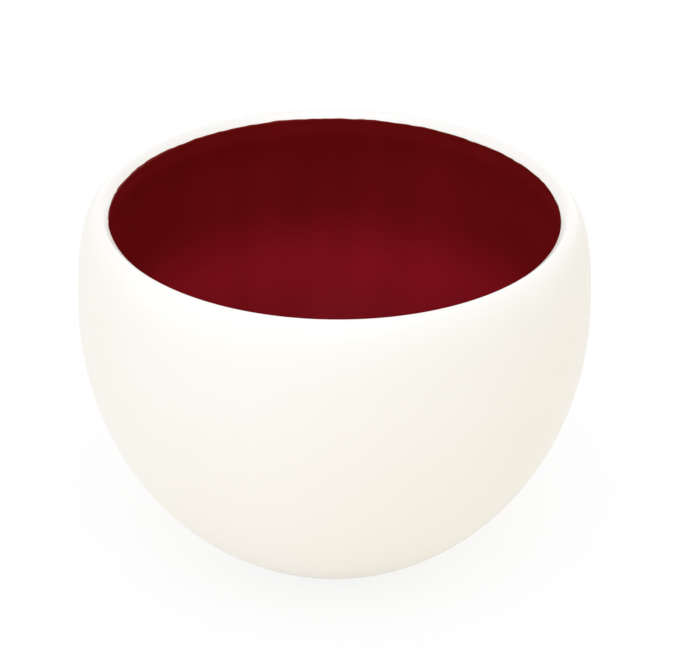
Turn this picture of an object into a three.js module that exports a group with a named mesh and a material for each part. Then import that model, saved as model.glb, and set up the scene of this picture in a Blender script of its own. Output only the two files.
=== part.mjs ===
// Porcelain salad bowl: a fired body on a recessed foot ring, with a white glaze coat outside and over
// the lip, a burgundy glaze coat inside and a disc of white glaze in the foot's recess.
// Millimetres, +Z up, the table at z = 0 and the bowl's axis on Z.
import * as THREE from 'three';

// Outside of the finished bowl
const bellyRadius = 100; // at the widest level
const bellyHeight = 105; // widest level above the table
const shoulderHeight = 41; // widest level up to the crest of the lip
const shoulderInset = 10; // how far the crest stands in from the widest level
const shoulderFullness = 2.4; // superellipse exponent of the shoulder
const lipRadius = 2.75; // round from the crest to the inner side of the lip

// Wall and floor
const bellyWall = 6.5; // wall at the widest level
const lowerWall = 8; // by how much the inner ellipse is less deep than the outer one
const floorThickness = 6.5; // over the foot's recess, at the axis
const floorTurn = 12; // height above the floor at which the wall starts to turn into it
const mouthEase = 10; // upright lead of the inner wall below the lip
const bellyEase = 26; // upright lead of the inner wall above the widest level

// Foot
const footRadius = 35; // where the glazed outside would meet the table
const footWidth = 6; // outer corner to inner corner of the foot ring
const footEdge = 1; // softening of the outer corner
const dryHeight = 1.5; // bare porcelain above the table
const recessDepth = 2.5; // glazed ceiling of the recess above the table

// Coats
const glazeThickness = 0.35;
const bond = 0.02; // hairline between a coat and the body that it is fired onto

// Finishes
const biscuit = { color: '#e9e3d6', roughness: 0.8, metalness: 0 };
const whiteGlaze = { color: '#f6f2e6', roughness: 0.25, metalness: 0 };
const burgundyGlaze = { color: '#7a111b', roughness: 0.2, metalness: 0 };

// Fineness of the facets
const segments = 56;
const lowerSteps = 11;
const shoulderSteps = 8;
const lipSteps = 4;
const innerShoulderSteps = 5;
const innerWallSteps = 6;
const floorSteps = 4;
const recessSteps = 3;
const footEdgeSteps = 2;
const dryBandSteps = 1;

// Worked out from the driving dimensions
const plainEllipse = 2; // superellipse exponent of an ellipse or a circle
const quarterTurn = Math.PI / 2;
const rimHeight = bellyHeight + shoulderHeight;
const crestRadius = bellyRadius - shoulderInset;
const innerRadius = bellyRadius - bellyWall;
const outerDepth = bellyHeight / Math.sqrt(1 - (footRadius / bellyRadius) ** 2);
const innerDepth = outerDepth - lowerWall;
const floorHeight = recessDepth + floorThickness;
const floorAngle = Math.asin((bellyHeight - floorHeight - floorTurn) / innerDepth);
const glazeEndAngle = Math.asin((bellyHeight - dryHeight) / outerDepth);
const bodyDepth = glazeThickness + bond; // of the bare body under the finished surface
const bodyCornerAngle = Math.asin(bellyHeight / (outerDepth - bodyDepth));
const bodyCornerRadius = (bellyRadius - bodyDepth) * Math.cos(bodyCornerAngle);
const recessCeiling = recessDepth + bodyDepth;
const recessRadius = bodyCornerRadius - footWidth - recessCeiling; // of the flat ceiling

// Points of a superellipse |x / a|^n + |y / b|^n = 1 about a centre, between two angles in one quadrant.
function arcPoints(centre, radii, exponent, fromAngle, toAngle, steps) {
  const power = (value) => Math.sign(value) * Math.abs(value) ** (2 / exponent);
  return Array.from({ length: steps + 1 }, (_, step) => {
    const angle = THREE.MathUtils.lerp(fromAngle, toAngle, step / steps);
    const x = centre.x + radii.x * power(Math.cos(angle));
    const y = centre.y + radii.y * power(Math.sin(angle));
    return new THREE.Vector2(x, y);
  });
}

// Joins stretches, each starting where the one before it ends, into one line of points.
function chain(...stretches) {
  return stretches.flatMap((points, index) => (index === 0 ? points : points.slice(1)));
}

// Each curve of the section is given by its depth under the finished surface. A coat's two faces, and
// the face of the body under it, are the same curve at different depths.

// Ellipse of the outside, between two angles below the widest level.
function lowerOutside(depth, fromAngle, toAngle, steps) {
  const centre = new THREE.Vector2(0, bellyHeight);
  const radii = new THREE.Vector2(bellyRadius - depth, outerDepth - depth);
  return arcPoints(centre, radii, plainEllipse, -fromAngle, -toAngle, steps);
}

// Superellipse from the widest level up and in to the crest of the lip.
function shoulder(depth) {
  const centre = new THREE.Vector2(crestRadius, bellyHeight);
  const radii = new THREE.Vector2(shoulderInset - depth, shoulderHeight - depth);
  return arcPoints(centre, radii, shoulderFullness, 0, quarterTurn, shoulderSteps);
}

// Quarter round from the crest to the inner side of the lip, where the two glazes meet.
function lip(depth) {
  const centre = new THREE.Vector2(crestRadius, rimHeight - lipRadius);
  const radii = new THREE.Vector2(lipRadius - depth, lipRadius - depth);
  return arcPoints(centre, radii, plainEllipse, quarterTurn, Math.PI, lipSteps);
}

// The glazed outside, from the end of the glaze above the foot up and over the lip.
function glazedOutside(depth) {
  return chain(lowerOutside(depth, glazeEndAngle, 0, lowerSteps), shoulder(depth), lip(depth));
}

// Gentle double curve from the lip out to the inner side of the widest level.
function innerShoulder(depth) {
  const mouth = new THREE.Vector2(crestRadius - lipRadius + depth, rimHeight - lipRadius);
  const belly = new THREE.Vector2(innerRadius + depth, bellyHeight);
  const belowMouth = new THREE.Vector2(mouth.x, mouth.y - mouthEase);
  const aboveBelly = new THREE.Vector2(belly.x, belly.y + bellyEase);
  return new THREE.CubicBezierCurve(mouth, belowMouth, aboveBelly, belly).getPoints(innerShoulderSteps);
}

// Ellipse of the inside below the widest level, then a curve tangent to it that runs level to the axis.
function innerWallAndFloor(depth) {
  const centre = new THREE.Vector2(0, bellyHeight);
  const radii = new THREE.Vector2(innerRadius + depth, innerDepth + depth);
  const wall = arcPoints(centre, radii, plainEllipse, 0, -floorAngle, innerWallSteps);
  const start = wall.at(-1);
  const middle = new THREE.Vector2(0, floorHeight - depth);
  const slope = radii.y / (radii.x * Math.tan(floorAngle));
  const turn = new THREE.Vector2(start.x - (start.y - middle.y) / slope, middle.y);
  const floor = new THREE.QuadraticBezierCurve(start, turn, middle).getPoints(floorSteps);
  return chain(wall, floor);
}

// The lined inside, from the line where the glazes meet down to the middle of the floor.
function linedInside(depth) {
  return chain(innerShoulder(depth), innerWallAndFloor(depth));
}

// Bare underside of the body, from the axis out over the recess and the foot ring to the end of the glaze.
function foot() {
  const recessMiddle = new THREE.Vector2(0, recessCeiling);
  const roundCentre = new THREE.Vector2(recessRadius, 0);
  const roundRadii = new THREE.Vector2(recessCeiling, recessCeiling);
  const recessSide = arcPoints(roundCentre, roundRadii, plainEllipse, quarterTurn, 0, recessSteps);

  const corner = new THREE.Vector2(bodyCornerRadius, 0);
  const ringEdge = new THREE.Vector2(bodyCornerRadius - footEdge, 0);
  const softEndAngle = bodyCornerAngle - footEdge / outerDepth;
  const dryBand = lowerOutside(bodyDepth, softEndAngle, glazeEndAngle, dryBandSteps);
  const softCorner = new THREE.QuadraticBezierCurve(ringEdge, corner, dryBand[0]).getPoints(footEdgeSteps);

  const recess = chain([recessMiddle, recessSide[0]], recessSide);
  const ring = [recessSide.at(-1), ringEdge];
  return chain(recess, ring, softCorner, dryBand);
}

// Section of a coat, out along its back on the body and home along its finished face.
function coat(curve) {
  return [...curve(glazeThickness).reverse(), ...curve(0)];
}

function turned(name, profile, finish) {
  const geometry = new THREE.LatheGeometry(profile, segments);
  const mesh = new THREE.Mesh(geometry, new THREE.MeshStandardMaterial(finish));
  mesh.name = name;
  return mesh;
}

function porcelainBody() {
  const section = chain(foot(), glazedOutside(bodyDepth), linedInside(bodyDepth));
  return turned('porcelain_body', section, biscuit);
}

function coverGlaze() {
  const section = coat(glazedOutside);
  return turned('cover_glaze', [...section, section[0]], whiteGlaze);
}

function burgundyLining() {
  return turned('burgundy_lining', coat(linedInside), burgundyGlaze);
}

// The disc lies on the recess's flat ceiling.
function baseGlaze() {
  const top = recessDepth + glazeThickness;
  const section = [
    new THREE.Vector2(0, recessDepth),
    new THREE.Vector2(recessRadius, recessDepth),
    new THREE.Vector2(recessRadius, top),
    new THREE.Vector2(0, top),
  ];
  return turned('base_glaze', section, whiteGlaze);
}

// A lathe turns about Y, so the whole bowl is tipped up to stand on Z.
const bowl = new THREE.Group();
bowl.add(porcelainBody(), coverGlaze(), burgundyLining(), baseGlaze());
bowl.rotation.x = quarterTurn;

export default bowl;
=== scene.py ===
import math

import bpy
import numpy as np
from mathutils import Matrix, Vector


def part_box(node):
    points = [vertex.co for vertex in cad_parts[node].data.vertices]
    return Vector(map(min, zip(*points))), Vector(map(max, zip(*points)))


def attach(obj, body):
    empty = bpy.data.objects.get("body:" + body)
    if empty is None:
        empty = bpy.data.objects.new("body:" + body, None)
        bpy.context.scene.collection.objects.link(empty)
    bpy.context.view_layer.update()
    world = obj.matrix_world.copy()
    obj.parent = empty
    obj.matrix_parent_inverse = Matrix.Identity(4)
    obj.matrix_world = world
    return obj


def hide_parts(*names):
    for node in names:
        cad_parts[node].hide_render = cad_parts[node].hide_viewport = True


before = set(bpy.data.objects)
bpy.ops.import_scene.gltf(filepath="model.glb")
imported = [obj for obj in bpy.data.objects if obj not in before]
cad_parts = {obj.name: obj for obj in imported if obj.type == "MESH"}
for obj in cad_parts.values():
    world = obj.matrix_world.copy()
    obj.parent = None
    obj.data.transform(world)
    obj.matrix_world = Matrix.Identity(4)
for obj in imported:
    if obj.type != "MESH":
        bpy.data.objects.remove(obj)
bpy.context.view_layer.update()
scene = bpy.context.scene
scene.view_settings.view_transform = "Standard"
print("frame loaded:", ", ".join(sorted(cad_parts)))


class Wire:
    # wraps one output socket; arithmetic between wires and numbers adds Math nodes to its tree
    def __init__(self, tree, socket=None):
        self.tree = tree
        self.socket = socket

    def node(self, kind, settings=None, sockets=None, output=0):
        # any other node: its settings are set first, then the values or links of its sockets
        made = self.tree.nodes.new(kind)
        for name, value in (settings or {}).items():
            setattr(made, name, value)
        for name, value in (sockets or {}).items():
            if isinstance(value, Wire):
                self.tree.links.new(value.socket, made.inputs[name])
            else:
                made.inputs[name].default_value = value
        return Wire(self.tree, made.outputs[output]) if len(made.outputs) else None

    def math(self, operation, first, second):
        return self.node("ShaderNodeMath", {"operation": operation}, {0: first, 1: second})

    def __add__(self, other):
        return self.math("ADD", self, other)

    def __radd__(self, other):
        return self.math("ADD", other, self)

    def __sub__(self, other):
        return self.math("SUBTRACT", self, other)

    def __rsub__(self, other):
        return self.math("SUBTRACT", other, self)

    def __mul__(self, other):
        return self.math("MULTIPLY", self, other)

    def __rmul__(self, other):
        return self.math("MULTIPLY", other, self)

    def largest(self, other):
        return self.math("MAXIMUM", self, other)

    def fade(self, start, end, low=0.0, high=1.0):
        # smooth step from low at start to high at end
        return self.node(
            "ShaderNodeMapRange",
            {"interpolation_type": "SMOOTHSTEP"},
            {"Value": self, "From Min": start, "From Max": end, "To Min": low, "To Max": high},
        )

    def tint(self, low, high):
        # colour mix, low where this wire is 0 and high where it is 1; by number, because the node has
        # its factor, inputs and output once for each type of data
        return self.node("ShaderNodeMix", {"data_type": "RGBA"}, {0: self, 6: low, 7: high}, 2)

    def place(self):
        # the piece's own coordinates
        return self.node("ShaderNodeTexCoord", output="Object")

    def height(self):
        # level above the table
        return self.node("ShaderNodeSeparateXYZ", None, {0: self.place()}, "Z")

    def noise(self, scale, detail, stretch=(1.0, 1.0, 1.0)):
        # soft noise on the piece's own coordinates, scale in lumps per metre
        place = self.node("ShaderNodeMapping", None, {"Vector": self.place(), "Scale": stretch})
        sockets = {"Vector": place, "Scale": scale, "Detail": detail}
        return self.node("ShaderNodeTexNoise", {"noise_dimensions": "3D"}, sockets)

    def attribute(self, name):
        return self.node("ShaderNodeAttribute", {"attribute_name": name}, output="Fac")

    def bump(self, height, depth, under=None):
        # height runs over 0 to 1 and stands for depth in metres
        sockets = {"Height": height, "Distance": depth, "Strength": 1.0}
        if under is not None:
            sockets["Normal"] = under
        return self.node("ShaderNodeBump", None, sockets)


def freshMaterial(name):
    material = bpy.data.materials.new(name)
    material.use_nodes = True
    material.node_tree.nodes.clear()
    return material, Wire(material.node_tree)


def surfaceOutput(start, shader):
    start.node("ShaderNodeOutputMaterial", None, {"Surface": shader})


def putInScene(name, data):
    made = bpy.data.objects.new(name, data)
    scene.collection.objects.link(made)
    return made


# Wall section of the finished bowl

coverLow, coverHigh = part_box("cover_glaze")
liningLow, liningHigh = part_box("burgundy_lining")
recessLow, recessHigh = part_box("base_glaze")

wallSection = {
    "bellyHeight": 0.105,  # widest level above the table
    "shoulderInset": 0.010,  # crest of the lip in from the widest level
    "shoulderFullness": 2.4,  # superellipse exponent of the shoulder
    "footRadius": 0.035,  # where the outside would meet the table
    "lowerWall": 0.008,  # the inner ellipse is this much less deep than the outer
    "floorTurn": 0.012,  # height above the floor at which the wall turns into it
    "lipStart": 80.0,  # angle of the shoulder, in degrees, at which the lip's roll takes over
    "lipFall": 48.0,  # slope of the lip at the colour line, in degrees
    "lipLead": 0.0024,  # lead of the roll at both its ends
    "lipRoll": 0.0003,  # the roll runs on this far past the colour line before it turns upright
    "mouthEase": 0.010,  # upright lead of the inner wall below the lip
    "bellyEase": 0.026,  # upright lead of the inner wall above the widest level
    "hairline": 0.00002,  # between a coat and the body that it is fired onto
    "samples": 1500,  # points to each stretch of the section
}

bellyRadius = coverHigh.x
rimHeight = coverHigh.z
dryHeight = coverLow.z
lineHeight = liningHigh.z  # where the two glazes meet
lipRadius = rimHeight - lineHeight
glazeThickness = recessHigh.z - recessLow.z
bodyDepth = glazeThickness + wallSection["hairline"]
innerRadius = liningHigh.x - glazeThickness
floorHeight = liningLow.z + glazeThickness
crestRadius = bellyRadius - wallSection["shoulderInset"]
bellyHeight = wallSection["bellyHeight"]
footRatio = wallSection["footRadius"] / bellyRadius
outerDepth = bellyHeight / math.sqrt(1 - footRatio**2)
innerDepth = outerDepth - wallSection["lowerWall"]
plainEllipse = 2  # superellipse exponent of an ellipse or a circle
samePoint = 1e-9  # points nearer than this are one


def arcStretch(centre, radii, exponent, fromAngle, toAngle):
    # superellipse: each coordinate is its centre plus its radius times cos or sin to the power 2 / exponent
    angle = np.linspace(fromAngle, toAngle, wallSection["samples"])
    cosine = np.cos(angle)
    sine = np.sin(angle)
    power = 2 / exponent
    across = centre[0] + radii[0] * np.sign(cosine) * np.abs(cosine) ** power
    up = centre[1] + radii[1] * np.sign(sine) * np.abs(sine) ** power
    return np.stack([across, up], axis=1)


def bezierStretch(*handles):
    # de Casteljau: neighbouring handles are mixed by the same share until one point is left
    share = np.linspace(0, 1, wallSection["samples"])[:, None]
    points = [np.array(handle, float)[None, :] for handle in handles]
    while len(points) > 1:
        points = [before + (after - before) * share for before, after in zip(points, points[1:])]
    return points[0]


class SectionLine:
    # a line in the plane of radius and height, read by the length along it, with its outward normal
    def __init__(self, points):
        step = np.linalg.norm(np.diff(points, axis=0), axis=1)
        self.points = points[np.concatenate([[True], step > samePoint])]
        step = np.linalg.norm(np.diff(self.points, axis=0), axis=1)
        self.along = np.concatenate([[0.0], np.cumsum(step)])
        self.length = self.along[-1]
        tangent = np.gradient(self.points, self.along, axis=0)
        tangent /= np.linalg.norm(tangent, axis=1)[:, None]
        self.normal = np.stack([tangent[:, 1], -tangent[:, 0]], axis=1)

    def at(self, along, lift):
        # point of the line at that length, moved by lift along the normal
        radius = np.interp(along, self.along, self.points[:, 0])
        height = np.interp(along, self.along, self.points[:, 1])
        normalRadius = np.interp(along, self.along, self.normal[:, 0])
        normalHeight = np.interp(along, self.along, self.normal[:, 1])
        return radius + lift * normalRadius, height + lift * normalHeight

    def lengthTo(self, point):
        # length along the line to its sample nearest the point
        gaps = np.linalg.norm(self.points - np.array(point), axis=1)
        return self.along[gaps.argmin()]


def lipStretches(shoulder):
    # cubic roll from the end of the shoulder over the crest and down to the colour line, along both
    # their slopes, then a quadratic turn from that slope to the upright inner wall
    rise = shoulder[-1] - shoulder[-2]
    rise /= np.linalg.norm(rise)
    slope = math.radians(wallSection["lipFall"])
    fall = np.array([-math.cos(slope), -math.sin(slope)])
    mouth = np.array([crestRadius - lipRadius, lineHeight])
    lead = wallSection["lipLead"]
    roll = bezierStretch(shoulder[-1], shoulder[-1] + lead * rise, mouth - lead * fall, mouth)
    turn = mouth + wallSection["lipRoll"] * fall
    neck = turn - (0.0, wallSection["lipRoll"])
    return roll, bezierStretch(mouth, turn, neck)


def innerFloorStretch(start, wallRadii, floorAngle):
    # quadratic curve that leaves the wall along its tangent and runs level to the axis
    slope = wallRadii[1] / (wallRadii[0] * math.tan(floorAngle))
    turn = (start[0] - (start[1] - floorHeight) / slope, floorHeight)
    return bezierStretch(start, turn, (0.0, floorHeight))


def finishedSection():
    # ellipse from the table up the outside to the belly, superellipse shoulder, lip, cubic inner
    # shoulder, inner ellipse and floor
    below = math.asin(bellyHeight / outerDepth)
    outside = arcStretch((0, bellyHeight), (bellyRadius, outerDepth), plainEllipse, -below, 0)
    shoulderRadii = (wallSection["shoulderInset"], rimHeight - bellyHeight)
    fullness = wallSection["shoulderFullness"]
    lipStart = math.radians(wallSection["lipStart"])
    shoulder = arcStretch((crestRadius, bellyHeight), shoulderRadii, fullness, 0, lipStart)
    roll, lipEnd = lipStretches(shoulder)
    neck = lipEnd[-1]
    belowMouth = (neck[0], neck[1] - wallSection["mouthEase"])
    aboveBelly = (innerRadius, bellyHeight + wallSection["bellyEase"])
    innerShoulder = bezierStretch(neck, belowMouth, aboveBelly, (innerRadius, bellyHeight))
    floorAngle = math.asin((bellyHeight - floorHeight - wallSection["floorTurn"]) / innerDepth)
    wallRadii = (innerRadius, innerDepth)
    innerWall = arcStretch((0, bellyHeight), wallRadii, plainEllipse, 0, -floorAngle)
    floor = innerFloorStretch(innerWall[-1], wallRadii, floorAngle)
    return SectionLine(np.concatenate([outside, shoulder, roll, lipEnd, innerShoulder, innerWall, floor]))


wall = finishedSection()
glazeEndRadius = bellyRadius * math.sqrt(1 - ((bellyHeight - dryHeight) / outerDepth) ** 2)
glazeEnd = wall.lengthTo((glazeEndRadius, dryHeight))
bellyMark = wall.lengthTo((bellyRadius, bellyHeight))
crestMark = wall.lengthTo((crestRadius, rimHeight))
colourLine = wall.lengthTo((crestRadius - lipRadius, lineHeight))
innerBelly = wall.lengthTo((innerRadius, bellyHeight))
print(f"wall section: {wall.length * 1000:.1f} mm from the table to the middle of the floor")


# Turning a section into a piece

turning = {
    "aroundCount": 384,  # points round the bowl
    "sharpAngle": 50.0,  # an edge bent by more degrees than this stays sharp
}
aroundAngles = np.linspace(0, 2 * math.pi, turning["aroundCount"], endpoint=False)


def wander(reach, waves):
    # sum of sines round the bowl, each given by its count, its share of the reach and its phase
    count, share, phase = np.array(waves, float).T[:, :, None]
    return reach * (share * np.sin(count * aroundAngles + phase)).sum(axis=0)


def spaced(stops, counts):
    # stations along a line: even steps from each stop to the next, each count with both its stops
    runs = [np.linspace(start, end, count) for start, end, count in zip(stops, stops[1:], counts)]
    return np.concatenate([runs[0]] + [run[1:] for run in runs[1:]])


def turnedPiece(name, radius, height, looped, material, marks):
    # ring k at an angle: x = radius * cos, y = radius * sin, z = height. A looped section joins its
    # last ring to its first. An open one starts and ends in a single point on the axis. Marks are
    # kept as attributes of the points
    rings, around = len(radius), len(aroundAngles)
    radius = np.broadcast_to(radius, (rings, around))
    height = np.broadcast_to(height, (rings, around))
    points = np.stack([radius * np.cos(aroundAngles), radius * np.sin(aroundAngles), height], axis=2)
    index = np.arange(rings * around).reshape(rings, around)
    after = np.roll(index, -1, axis=1)
    kept = np.ones(rings * around, bool)
    fans = []
    if looped:
        lower, upper = index, np.roll(index, -1, axis=0)
        lowerAfter, upperAfter = after, np.roll(after, -1, axis=0)
    else:
        lower, upper = index[1:-2], index[2:-1]
        lowerAfter, upperAfter = after[1:-2], after[2:-1]
        kept[index[[0, -1], 1:]] = False  # one point is left of each end ring
        first = np.full(around, index[0, 0])
        last = np.full(around, index[-1, 0])
        fans.append(np.stack([first, after[1], index[1]], axis=1))
        fans.append(np.stack([index[-2], after[-2], last], axis=1))
    renumber = np.cumsum(kept) - 1
    quads = np.stack([lower, lowerAfter, upperAfter, upper], axis=2).reshape(-1, 4)
    faces = renumber[quads].tolist()
    for fan in fans:
        faces += renumber[fan].tolist()
    mesh = bpy.data.meshes.new(name)
    mesh.from_pydata(points.reshape(-1, 3)[kept].tolist(), [], faces)
    mesh.polygons.foreach_set("use_smooth", np.ones(len(mesh.polygons), bool))
    for label, values in marks.items():
        layer = mesh.attributes.new(label, "FLOAT", "POINT")
        spread = np.broadcast_to(values, (rings, around)).reshape(-1)[kept]
        layer.data.foreach_set("value", spread.astype(np.float32))
    mesh.set_sharp_from_angle(angle=math.radians(turning["sharpAngle"]))
    mesh.update()
    mesh.materials.append(material)
    print(f"{name}: {len(mesh.vertices)} points, {len(mesh.polygons)} faces")
    return putInScene(name, mesh)


# Finishes. A noise is given by its lumps per metre and its detail, a reach by the values or lengths at
# which a tone starts and is full

firedSurface = {
    "ior": 1.5,
    "ripple": (26.0, 0.0),  # long waves that the glaze set in
    "rippleDepth": 0.00008,
    "peel": (300.0, 1.0),  # fine orange peel over them
    "peelDepth": 0.000005,
}


def glazeSkin(start):
    # the peel's bump on top of the ripple's
    ripple = start.bump(start.noise(*firedSurface["ripple"]), firedSurface["rippleDepth"])
    return start.bump(start.noise(*firedSurface["peel"]), firedSurface["peelDepth"], ripple)


def firedFinish(start, colour, roughness, normal, fixed=None):
    # the surface from its three wires and from the values that are the same all over it
    sockets = {"Base Color": colour, "Roughness": roughness, "Normal": normal}
    sockets["IOR"] = firedSurface["ior"]
    sockets.update(fixed or {})
    surfaceOutput(start, start.node("ShaderNodeBsdfPrincipled", None, sockets))


whiteGlazeLook = {
    "pale": (0.882, 0.861, 0.835, 1.0),  # where the coat is even
    "cream": (0.878, 0.851, 0.813, 1.0),  # where it lies a little thicker
    "pool": (0.88, 0.83, 0.72, 1.0),  # in the bead along its lower edge
    "paintedLipLight": (0.945, 0.928, 0.888, 1.0),  # painted light: lighter on the inner side of the lip, which lies in shade
    "fringe": (0.93, 0.88, 0.75, 1.0),  # where the colours run together at the lip
    "drift": (9.0, 1.5),  # slow change from pale to cream
    "driftReach": (0.25, 0.75),
    "poolReach": (0.0030, 0.0004),  # from the lower edge
    "poolShare": 0.8,
    "paintedLipLightReach": (0.0042, 0.0012),  # from the colour line: where the painted light starts, and where it is full
    "fringeReach": (0.0006, 0.0001),
    "fringeShare": 0.6,
    "sheen": (26.0, 1.0),  # change of the gloss
    "sheenReach": (0.2, 0.8),
    "roughness": (0.28, 0.35),
}


def whiteGlaze():
    look = whiteGlazeLook
    material, start = freshMaterial("whiteGlaze")
    thick = start.noise(*look["drift"]).fade(*look["driftReach"])
    colour = thick.tint(look["pale"], look["cream"])
    pooled = start.attribute("footGap").fade(*look["poolReach"]) * look["poolShare"]
    colour = pooled.tint(colour, look["pool"])
    lineGap = start.attribute("lineGap")
    # painted light: the lip's inner side is made lighter towards the colour line, where it lies in shade
    colour = lineGap.fade(*look["paintedLipLightReach"]).tint(colour, look["paintedLipLight"])
    mingled = lineGap.fade(*look["fringeReach"]) * look["fringeShare"]
    colour = mingled.tint(colour, look["fringe"])
    roughness = start.noise(*look["sheen"]).fade(*look["sheenReach"], *look["roughness"])
    firedFinish(start, colour, roughness, glazeSkin(start))
    return material


burgundyGlazeLook = {
    "deep": (0.215, 0.0078, 0.0086, 1.0),  # darker tone: away from the painted band of light, and where the coat is thick
    "clear": (0.405, 0.0125, 0.0255, 1.0),  # lighter tone: the painted band of light at one level, and the thinner runs and drift
    "edge": (0.165, 0.0056, 0.0056, 1.0),  # darker along the colour line, and painted shade in the band below it
    "litBandHeight": 0.076,  # level of the painted band of light, where it is brightest
    "litBandReach": 0.027,  # up and down to where the painted light has faded out
    "litBandShare": 0.6,  # how much of the lighter tone is the painted band of light at one level; the rest follows drift and runs
    "drift": (10.0, 1.0),  # slow unevenness
    "driftShare": 0.6,  # against the runs
    "runs": (60.0, 1.5),
    "runStretch": (1.0, 1.0, 0.16),  # runs are long down the wall
    "runReach": (0.25, 0.75),
    "paintedShadeReach": (0.0060, 0.0002),  # from the colour line: where the painted shade starts, and where it is full
    "sheenReach": (0.2, 0.8),
    "roughness": (0.30, 0.38),
    "gloss": 0.28,
    "glossTint": (1.0, 0.20, 0.26, 1.0),
}


def burgundyGlaze():
    look = burgundyGlazeLook
    material, start = freshMaterial("burgundyGlaze")
    runs = start.noise(*look["runs"], look["runStretch"])
    uneven = start.noise(*look["drift"]) * look["driftShare"] + runs * (1 - look["driftShare"])
    height = start.height()
    # painted light: a lighter band round the inside at one level, fading above and below it
    above = height.fade(look["litBandHeight"] + look["litBandReach"], look["litBandHeight"])
    below = height.fade(look["litBandHeight"] - look["litBandReach"], look["litBandHeight"])
    clear = above * below * look["litBandShare"]
    # the lighter tone is the painted band of light plus random runs and drift
    clear = clear + uneven.fade(*look["runReach"]) * (1 - look["litBandShare"])
    colour = clear.tint(look["deep"], look["clear"])
    # painted shade: darker from about 6 mm below the colour line up to it
    edge = start.attribute("lineGap").fade(*look["paintedShadeReach"])
    colour = edge.tint(colour, look["edge"])
    roughness = runs.fade(*look["sheenReach"], *look["roughness"])
    fixed = {"Specular IOR Level": look["gloss"], "Specular Tint": look["glossTint"]}
    firedFinish(start, colour, roughness, glazeSkin(start), fixed)
    return material


barePorcelainLook = {
    "clay": (0.80, 0.765, 0.685, 1.0),
    "shade": (0.735, 0.69, 0.60, 1.0),
    "scuff": (0.56, 0.53, 0.48, 1.0),  # grey rub on the face that stands on the table
    "grain": (1700.0, 2.0),
    "grainShare": 0.5,  # against the blotches
    "grainDepth": 0.00003,
    "blotch": (160.0, 3.0),
    "shadeReach": (0.35, 0.68),
    "scuffs": (90.0, 5.0),
    "scuffReach": (0.45, 0.70),
    "scuffHeight": (0.0004, 0.0001),  # reach above the table
    "scuffShare": 0.6,
    "scuffPolish": 0.2,  # by how much the rub is smoother
    "roughReach": (0.3, 0.7),
    "roughness": (0.62, 0.85),
}


def barePorcelain():
    look = barePorcelainLook
    material, start = freshMaterial("barePorcelain")
    grain = start.noise(*look["grain"])
    blotch = start.noise(*look["blotch"])
    shaded = grain * look["grainShare"] + blotch * (1 - look["grainShare"])
    colour = shaded.fade(*look["shadeReach"]).tint(look["clay"], look["shade"])
    scuffs = start.noise(*look["scuffs"]).fade(*look["scuffReach"])
    rubbed = start.height().fade(*look["scuffHeight"]) * scuffs
    colour = (rubbed * look["scuffShare"]).tint(colour, look["scuff"])
    roughness = grain.fade(*look["roughReach"], *look["roughness"]) - rubbed * look["scuffPolish"]
    firedFinish(start, colour, roughness, start.bump(grain, look["grainDepth"]))
    return material


whiteFinish = whiteGlaze()
burgundyFinish = burgundyGlaze()
bareFinish = barePorcelain()
print("finishes made")


# White coat outside and over the lip

whiteCoat = {
    "footWander": 0.00030,  # how far the wiped lower edge strays
    "footWaves": [(3, 0.5, 0.4), (7, 0.3, 2.1), (13, 0.25, 4.0), (29, 0.15, 1.2)],
    "lineWander": 0.00030,  # how far the colour line strays
    "lineWaves": [
        (1, 1.2, 1.57), (2, 0.3, 1.1), (5, 0.3, 3.6), (9, 0.25, 0.3), (17, 0.25, 5.2),
        (29, 0.2, 2.2), (43, 0.16, 0.8), (61, 0.14, 4.4), (83, 0.14, 2.9), (107, 0.11, 0.7),
    ],
    "wanderFade": 0.0040,  # the straying dies out over this length
    "edgeRound": 0.0005,  # rounding of the lower edge
    "beadHeight": 0.00010,  # roll of glaze just above the lower edge
    "beadAt": 0.0010,
    "beadWidth": 0.0007,
    "beadBand": 0.0014,  # finest rings, over the lower edge and its bead
    "footBand": 0.006,  # fine rings above the lower edge
    "lipBand": 0.004,  # fine rings from this far outside the crest
    "lineBand": 0.0008,  # finest rings beside the colour line
    "backBand": 0.003,  # fine rings on the back above the lower edge
    "faceCounts": (16, 8, 48, 22, 30, 9),  # rings from each stop to the next
    "backCounts": (5, 24, 9, 15),
}
footStray = wander(whiteCoat["footWander"], whiteCoat["footWaves"])
lineStray = wander(whiteCoat["lineWander"], whiteCoat["lineWaves"])
coverFace = spaced(
    [
        glazeEnd,
        glazeEnd + whiteCoat["beadBand"],
        glazeEnd + whiteCoat["footBand"],
        bellyMark,
        crestMark - whiteCoat["lipBand"],
        colourLine - whiteCoat["lineBand"],
        colourLine,
    ],
    whiteCoat["faceCounts"],
)
coverBack = spaced(
    [glazeEnd, glazeEnd + whiteCoat["backBand"], bellyMark, crestMark - whiteCoat["lipBand"], colourLine],
    whiteCoat["backCounts"],
)


def shiftNear(edge, stray, station):
    # an edge's straying, which dies out exponentially along the wall to both its sides
    return np.exp(-np.abs(station - edge) / whiteCoat["wanderFade"])[:, None] * stray


def coverLift(station):
    # quarter round up from the body at the lower edge and a bell-shaped roll above it
    footGap = station - glazeEnd
    share = np.clip(1 - footGap / whiteCoat["edgeRound"], 0, 1)
    rounded = glazeThickness * (np.sqrt(1 - share**2) - 1)
    bead = np.exp(-(((footGap - whiteCoat["beadAt"]) / whiteCoat["beadWidth"]) ** 2))
    return rounded + whiteCoat["beadHeight"] * bead * (1 - share)


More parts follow.
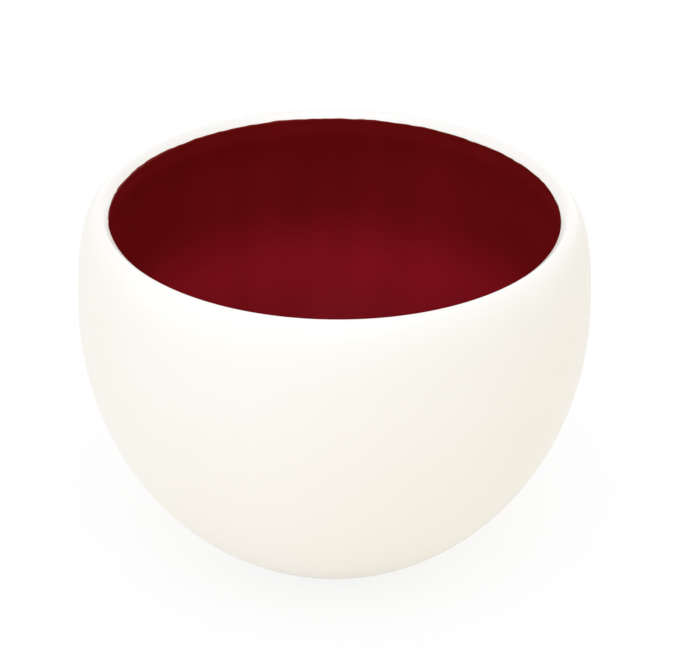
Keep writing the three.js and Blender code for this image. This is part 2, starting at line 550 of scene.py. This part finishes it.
def makeWhiteCoat():
    # out along the finished face and home along the back
    back = coverBack[:0:-1]
    station = np.concatenate([coverFace, back])
    lift = np.concatenate([coverLift(coverFace), np.full(len(back), -glazeThickness)])
    shift = shiftNear(glazeEnd, footStray, station) + shiftNear(colourLine, lineStray, station)
    radius, height = wall.at(station[:, None] + shift, lift[:, None])
    marks = {"footGap": (station - glazeEnd)[:, None], "lineGap": (colourLine - station)[:, None]}
    return turnedPiece("white_glaze_coat", radius, height, True, whiteFinish, marks)


whitePiece = makeWhiteCoat()
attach(whitePiece, "root")
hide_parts("cover_glaze")


# Burgundy coat inside

burgundyCoat = {
    "rollHeight": 0.00003,  # soft roll of glaze just below the colour line
    "rollAt": 0.0010,
    "rollWidth": 0.0007,
    "lineBand": 0.0008,  # finest rings beside the colour line
    "lipBand": 0.004,  # fine rings below the colour line
    "faceCounts": (9, 12, 22, 70),
    "backCounts": (5, 8, 24),
}
liningFace = spaced(
    [
        colourLine,
        colourLine + burgundyCoat["lineBand"],
        colourLine + burgundyCoat["lipBand"],
        innerBelly,
        wall.length,
    ],
    burgundyCoat["faceCounts"],
)
liningBack = spaced(
    [colourLine, colourLine + burgundyCoat["lipBand"], innerBelly, wall.length],
    burgundyCoat["backCounts"],
)


def liningLift(station):
    # bell-shaped roll of glaze below the colour line
    lineGap = station - colourLine
    roll = np.exp(-(((lineGap - burgundyCoat["rollAt"]) / burgundyCoat["rollWidth"]) ** 2))
    return burgundyCoat["rollHeight"] * roll


def makeBurgundyCoat():
    # up along the back from the axis and home along the finished face
    back = liningBack[::-1]
    station = np.concatenate([back, liningFace])
    lift = np.concatenate([np.full(len(back), -glazeThickness), liningLift(liningFace)])
    shift = shiftNear(colourLine, lineStray, station)
    radius, height = wall.at(station[:, None] + shift, lift[:, None])
    marks = {"lineGap": (station - colourLine)[:, None]}
    return turnedPiece("burgundy_glaze_lining", radius, height, False, burgundyFinish, marks)


burgundyPiece = makeBurgundyCoat()
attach(burgundyPiece, "root")
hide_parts("burgundy_lining")


# Fired body, bare on the foot ring

firedBody = {
    "footWidth": 0.006,  # outer to inner corner of the foot ring
    "softening": 0.00030,  # spread of the smoothing that rounds the ring's corners
    "softeningReach": 4,  # spreads to each side that the smoothing takes in
    "fineStep": 0.00002,  # of the line that is smoothed
    "lap": 0.004,  # height to which the foot's section runs on under the glaze
    "glazeLead": 0.0004,  # the foot's own rings end this far below the glaze
    "cornerBand": 0.001,  # fine rings to each side of a corner
    "footCounts": (10, 14, 14, 8, 14, 6),
}
recessDepth = recessLow.z
recessRadius = recessHigh.x
recessCeiling = recessDepth + bodyDepth


def sharpFoot():
    # level ceiling, quarter round down to the table, ring face, then up the outside under the glaze
    depthRadii = (bellyRadius - bodyDepth, outerDepth - bodyDepth)
    cornerAngle = math.asin(bellyHeight / depthRadii[1])
    endAngle = math.asin((bellyHeight - dryHeight - firedBody["lap"]) / depthRadii[1])
    roundRadii = (recessCeiling, recessCeiling)
    ceiling = bezierStretch((0.0, recessCeiling), (recessRadius, recessCeiling))
    side = arcStretch((recessRadius, 0.0), roundRadii, plainEllipse, math.pi / 2, 0)
    outside = arcStretch((0.0, bellyHeight), depthRadii, plainEllipse, -cornerAngle, -endAngle)
    ring = bezierStretch(side[-1], outside[0])
    return SectionLine(np.concatenate([ceiling, side, ring, outside]))


def softFoot():
    # even steps along the sharp section, then a running bell-shaped mean that rounds its corners
    sharp = sharpFoot()
    step = firedBody["fineStep"]
    spread = firedBody["softening"]
    line = sharp.at(np.arange(0, sharp.length, step), 0.0)
    reach = int(firedBody["softeningReach"] * spread / step)
    offset = np.arange(-reach, reach + 1) * step
    weight = np.exp(-0.5 * (offset / spread) ** 2)
    weight /= weight.sum()
    padded = [np.pad(values, reach, mode="reflect", reflect_type="odd") for values in line]
    smooth = [np.convolve(values, weight, mode="valid") for values in padded]
    return SectionLine(np.stack(smooth, axis=1))


def makeFiredBody():
    # the foot from the axis out, then the wall a coat's depth under the finished surface
    foot = softFoot()
    band = firedBody["cornerBand"]
    quarterEnd = foot.lengthTo((recessRadius + recessCeiling, 0.0))
    ringEnd = quarterEnd + firedBody["footWidth"]
    glazeStart = foot.lengthTo(wall.at(glazeEnd - firedBody["glazeLead"], -bodyDepth))
    corners = [quarterEnd - band, quarterEnd + band, ringEnd - band, ringEnd + band]
    stops = [0.0, recessRadius - band, *corners, glazeStart]
    footRadius, footHeight = foot.at(spaced(stops, firedBody["footCounts"]), 0.0)
    hidden = np.concatenate([coverBack, liningBack[1:]])
    hiddenRadius, hiddenHeight = wall.at(hidden, -bodyDepth)
    radius = np.concatenate([footRadius, hiddenRadius])[:, None]
    height = np.concatenate([footHeight, hiddenHeight])[:, None]
    return turnedPiece("porcelain_bowl_body", radius, height, False, bareFinish, {})


bodyPiece = makeFiredBody()
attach(bodyPiece, "root")
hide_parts("porcelain_body")


# Disc of white glaze in the foot's recess

recessCoat = {
    "edgeRound": 0.0006,  # rounding of the edge
    "edgeWander": 0.00035,  # how far the edge strays
    "edgeWaves": [(2, 0.5, 0.9), (5, 0.35, 2.7), (11, 0.25, 5.1), (23, 0.12, 0.6)],
    "wanderPower": 8,  # the straying dies out towards the middle with this power of the radius
    "beadHeight": 0.00008,  # roll of glaze inside the edge
    "beadAt": 0.0014,
    "beadWidth": 0.0010,
    "crown": 0.00006,  # the coat thins a little towards the middle
    "edgeBands": (0.004, 0.0008),  # gaps to the edge within which the rings are fine and finest
    "faceCounts": (12, 10, 10),
    "topShares": (0.95, 0.6, 0.3, 0.0),  # of the radius, rings on the hidden top
    "farFromLine": 1.0,  # the colour line is out of reach here
}


def makeRecessCoat():
    # under face: level, with a bell-shaped roll near its edge and a quarter round up to the body
    reach = recessRadius - recessCoat["edgeWander"]
    gap = spaced([reach, *recessCoat["edgeBands"], 0.0], recessCoat["faceCounts"])
    share = np.clip(1 - gap / recessCoat["edgeRound"], 0, 1)
    rounded = glazeThickness * (1 - np.sqrt(1 - share**2))
    bead = np.exp(-(((gap - recessCoat["beadAt"]) / recessCoat["beadWidth"]) ** 2)) * (1 - share)
    crown = recessCoat["crown"] * (1 - ((reach - gap) / reach) ** 2)
    under = recessDepth + rounded + crown * (1 - share) - recessCoat["beadHeight"] * bead
    topRadius = reach * np.array(recessCoat["topShares"])
    radius = np.concatenate([reach - gap, topRadius])[:, None]
    height = np.concatenate([under, np.full(len(topRadius), recessHigh.z)])[:, None]
    marks = {"footGap": reach - radius, "lineGap": recessCoat["farFromLine"]}
    stray = wander(recessCoat["edgeWander"], recessCoat["edgeWaves"])
    strayed = radius + (radius / reach) ** recessCoat["wanderPower"] * stray
    return turnedPiece("recess_glaze_disc", strayed, height, False, whiteFinish, marks)


recessPiece = makeRecessCoat()
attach(recessPiece, "root")
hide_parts("base_glaze")
print("bowl made")


# Studio: pale floor, soft light and a white surround

studioFloor = {
    "halfSide": 4.0,
    "colour": (0.95, 0.95, 0.97, 1.0),  # as it is seen
    "bounce": (0.965, 0.93, 0.835, 1.0),  # as it lights the bowl from below
    "ownWhite": 0.85,  # share of plain white where it is seen; the rest shows a faint shadow
}
plainWhite = {"Color": (1.0, 1.0, 1.0, 1.0), "Strength": 1.0}


def rayWires(start):
    # 1 for the rays by which a thing is seen: straight, in a reflection or through glass; else 0
    names = ("Is Camera Ray", "Is Glossy Ray", "Is Transmission Ray")
    direct, reflected, passed = [start.node("ShaderNodeLightPath", output=name) for name in names]
    return direct.largest(reflected).largest(passed)


def floorFinish():
    material, start = freshMaterial("paleFloor")
    white = start.node("ShaderNodeEmission", None, plainWhite)
    shown = rayWires(start)
    colour = shown.tint(studioFloor["bounce"], studioFloor["colour"])
    matt = start.node("ShaderNodeBsdfDiffuse", None, {"Color": colour})
    ownWhite = shown * studioFloor["ownWhite"]
    top = start.node("ShaderNodeMixShader", None, {0: ownWhite, 1: matt, 2: white})
    clear = start.node("ShaderNodeBsdfTransparent")
    below = start.node("ShaderNodeNewGeometry", output="Backfacing")  # see-through from underneath
    surfaceOutput(start, start.node("ShaderNodeMixShader", None, {0: below, 1: top, 2: clear}))
    return material


def makeFloor():
    side = studioFloor["halfSide"]
    mesh = bpy.data.meshes.new("studio_floor")
    corners = [(-side, -side, 0.0), (side, -side, 0.0), (side, side, 0.0), (-side, side, 0.0)]
    mesh.from_pydata(corners, [], [(0, 1, 2, 3)])
    mesh.materials.append(floorFinish())
    floor = putInScene("studio_floor", mesh)


softLight = {
    "surround": {"Color": (1.0, 0.980, 0.866, 1.0), "Strength": 0.82},
    "lamps": {
        "topFront": {"place": (0.0, -0.48, 1.76), "size": (1.4, 1.4), "power": 12.3, "colour": "cool"},
        "frontMid": {"place": (0.0, -1.80, 1.10), "size": (1.4, 1.0), "power": 3.6, "colour": "cool"},
        "lowLeft": {"place": (-1.70, -0.90, 0.45), "size": (2.0, 0.8), "power": 5.2, "colour": "cool"},
        "lowRight": {"place": (1.70, -0.90, 0.45), "size": (2.0, 0.8), "power": 0.6, "colour": "warm"},
        "lowBack": {"place": (0.25, 1.85, 0.45), "size": (2.2, 0.8), "power": 4.4, "colour": "cool"},
    },
    "cool": (0.69, 0.76, 1.0),
    "warm": (1.0, 0.86, 0.50),
    "aim": (0.0, 0.0, 0.09),
}


def makeSurround():
    world = bpy.data.worlds.new("studio_surround")
    scene.world = world
    world.use_nodes = True
    world.node_tree.nodes.clear()
    start = Wire(world.node_tree)
    lit = start.node("ShaderNodeBackground", None, softLight["surround"])
    white = start.node("ShaderNodeBackground", None, plainWhite)
    mixed = start.node("ShaderNodeMixShader", None, {0: rayWires(start), 1: lit, 2: white})
    start.node("ShaderNodeOutputWorld", None, {"Surface": mixed})


def makeLamps():
    for name, lamp in softLight["lamps"].items():
        light = bpy.data.lights.new(name, "AREA")
        light.shape = "RECTANGLE"
        light.size, light.size_y = lamp["size"]
        light.energy = lamp["power"]
        light.color = softLight[lamp["colour"]]
        place = Vector(lamp["place"])
        turn = (Vector(softLight["aim"]) - place).to_track_quat("-Z", "Y")
        holder = putInScene(name, light)
        holder.matrix_world = Matrix.Translation(place) @ turn.to_matrix().to_4x4()


makeFloor()
makeSurround()
makeLamps()
print("studio made")


# Camera at the photograph's angle, image 681 x 660

cameraView = {
    "distance": 1.2,  # from the middle of the belly
    "elevation": 28.203,  # degrees above the level
    "roll": 0.407,  # degrees
    "sensor": 36.0,  # mm
    "lens": 161.88,  # mm
    "aimRight": 0.00245,  # point in the middle of the image, from the middle of the belly
    "aimUp": -0.01134,
}


def makeCamera():
    # stands back from the middle of the belly, looks at the aim and is rolled about its line of sight
    tilt = math.radians(cameraView["elevation"])
    roll = math.radians(cameraView["roll"])
    belly = Vector((0.0, 0.0, bellyHeight))
    back = Vector((0.0, -math.cos(tilt), math.sin(tilt)))
    right = Vector((1.0, 0.0, 0.0))
    up = Vector((0.0, math.sin(tilt), math.cos(tilt)))
    rolledRight = right * math.cos(roll) + up * math.sin(roll)
    place = belly + back * cameraView["distance"]
    aim = belly + right * cameraView["aimRight"] + up * cameraView["aimUp"]
    zAxis = (place - aim).normalized()
    yAxis = zAxis.cross(rolledRight).normalized()
    xAxis = yAxis.cross(zAxis)
    lens = bpy.data.cameras.new("photo_view")
    lens.sensor_width = cameraView["sensor"]
    lens.lens = cameraView["lens"]
    camera = putInScene("photo_view", lens)
    turned = Matrix((xAxis, yAxis, zAxis)).transposed().to_4x4()
    camera.matrix_world = Matrix.Translation(place) @ turned
    scene.camera = camera


makeCamera()
print("camera made")
